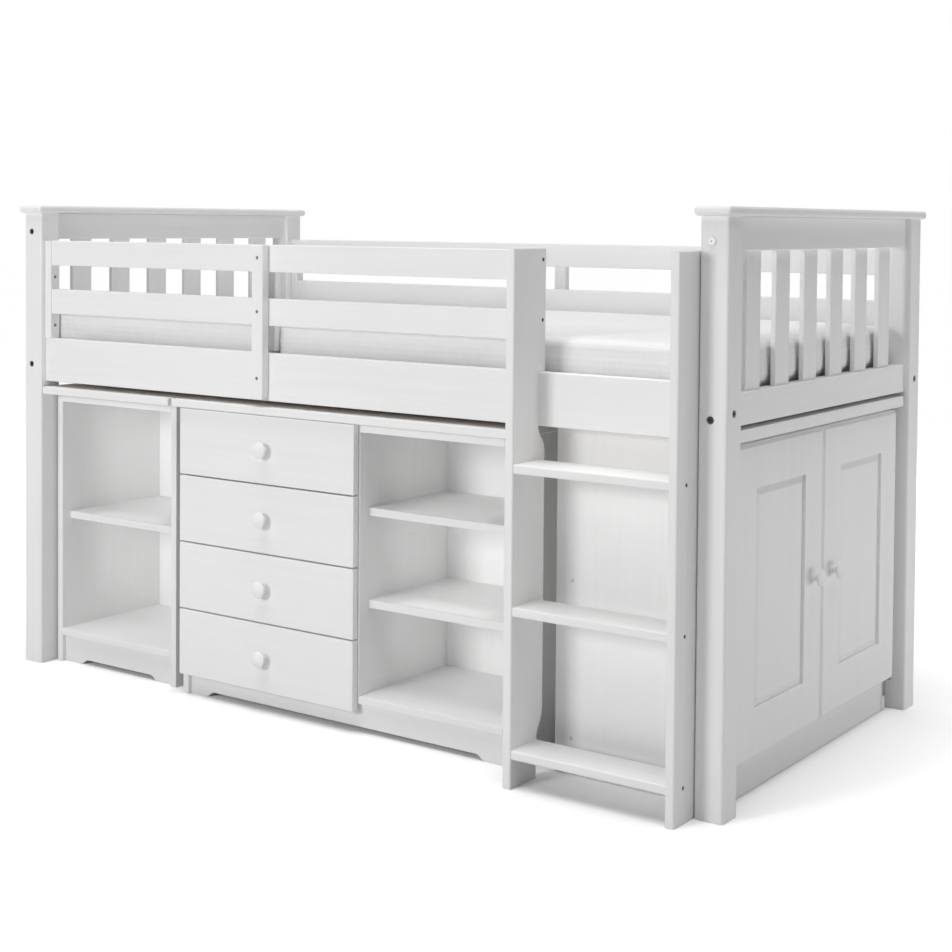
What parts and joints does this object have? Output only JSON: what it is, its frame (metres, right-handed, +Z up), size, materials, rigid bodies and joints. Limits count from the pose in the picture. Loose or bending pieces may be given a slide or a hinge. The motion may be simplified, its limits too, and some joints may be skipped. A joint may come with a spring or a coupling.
{
  "type": "mid sleeper bed",
  "caption": "Raised single bed in white painted timber with guard rails, ladder, bookcase, drawer chest and a cupboard beneath.",
  "frame": {"origin": "centre of the footprint on the floor", "axes": "+X along the bed from the head end to the cupboard doors, +Y from the ladder side to the rear, +Z up"},
  "size_m": [2.033, 1.088, 1.1795],
  "materials": {
    "white_paint": "satin white paint over timber",
    "pine": "bare planed softwood",
    "mattress_fabric": "white woven ticking",
    "dark_steel": "dark plated steel",
    "pivot_steel": "plain steel",
    "white_plastic": "white moulded plastic"
  },
  "bodies": {
    "bed_and_units": {"barrel_nuts": "dark_steel", "bed_slats": "pine", "bolt_cover": "white_plastic", "bookcase_shelves": "white_paint", "bookcase_sides": "white_paint", "bookcase_top": "white_paint", "cabinet_backs": "white_paint", "chest_shelves": "white_paint", "chest_top": "white_paint", "chest_uprights": "white_paint", "cupboard_front_frame": "white_paint", "cupboard_shelves": "white_paint", "cupboard_sides": "white_paint", "cupboard_top": "white_paint", "door_pivot_brackets": "pivot_steel", "door_pivot_pins": "pivot_steel", "drawer_runners": "pine", "foot_cap": "white_paint", "foot_front_post": "white_paint", "foot_rails": "white_paint", "foot_rear_post": "white_paint", "foot_slats": "white_paint", "frame_bolts": "dark_steel", "front_guard_inner_batten": "white_paint", "front_guard_rails": "white_paint", "front_guard_upright": "white_paint", "front_side_rail": "white_paint", "guard_end_battens": "white_paint", "head_cap": "white_paint", "head_front_post": "white_paint", "head_rails": "white_paint", "head_rear_post": "white_paint", "head_slats": "white_paint", "ladder_left_stile": "white_paint", "ladder_right_stile": "white_paint", "ladder_treads": "white_paint", "mattress": "mattress_fabric", "rear_guard_rails": "white_paint", "rear_guard_upright": "white_paint", "rear_side_rail": "white_paint", "slat_ledgers": "pine", "unit_plinths": "white_paint", "unit_top_rails": "white_paint", "wood_screws": "dark_steel"},
    "drawer_1": {"drawer_1_front": "white_paint", "drawer_1_box": "pine", "drawer_1_knob": "white_paint"},
    "drawer_2": {"drawer_2_front": "white_paint", "drawer_2_box": "pine", "drawer_2_knob": "white_paint"},
    "drawer_3": {"drawer_3_front": "white_paint", "drawer_3_box": "pine", "drawer_3_knob": "white_paint"},
    "drawer_4": {"drawer_4_front": "white_paint", "drawer_4_box": "pine", "drawer_4_knob": "white_paint"},
    "front_door_leaf": {"front_door": "white_paint", "front_door_knob": "white_paint"},
    "rear_door_leaf": {"rear_door": "white_paint", "rear_door_knob": "white_paint"}
  },
  "joints": [
    {"name": "drawer_1_slide", "type": "slide", "parent": "bed_and_units", "child": "drawer_1", "axis": [0, -1, 0], "range_m": [0, 0.24]},
    {"name": "drawer_2_slide", "type": "slide", "parent": "bed_and_units", "child": "drawer_2", "axis": [0, -1, 0], "range_m": [0, 0.24]},
    {"name": "drawer_3_slide", "type": "slide", "parent": "bed_and_units", "child": "drawer_3", "axis": [0, -1, 0], "range_m": [0, 0.24]},
    {"name": "drawer_4_slide", "type": "slide", "parent": "bed_and_units", "child": "drawer_4", "axis": [0, -1, 0], "range_m": [0, 0.24]},
    {"name": "front_door_hinge", "type": "hinge", "parent": "bed_and_units", "child": "front_door_leaf", "pos_m": [0.9755, -0.382, 0.395], "axis": [0, 0, -1], "range_deg": [0, 100]},
    {"name": "rear_door_hinge", "type": "hinge", "parent": "bed_and_units", "child": "rear_door_leaf", "pos_m": [0.9755, 0.446, 0.395], "axis": [0, 0, 1], "range_deg": [0, 100]}
  ]
}
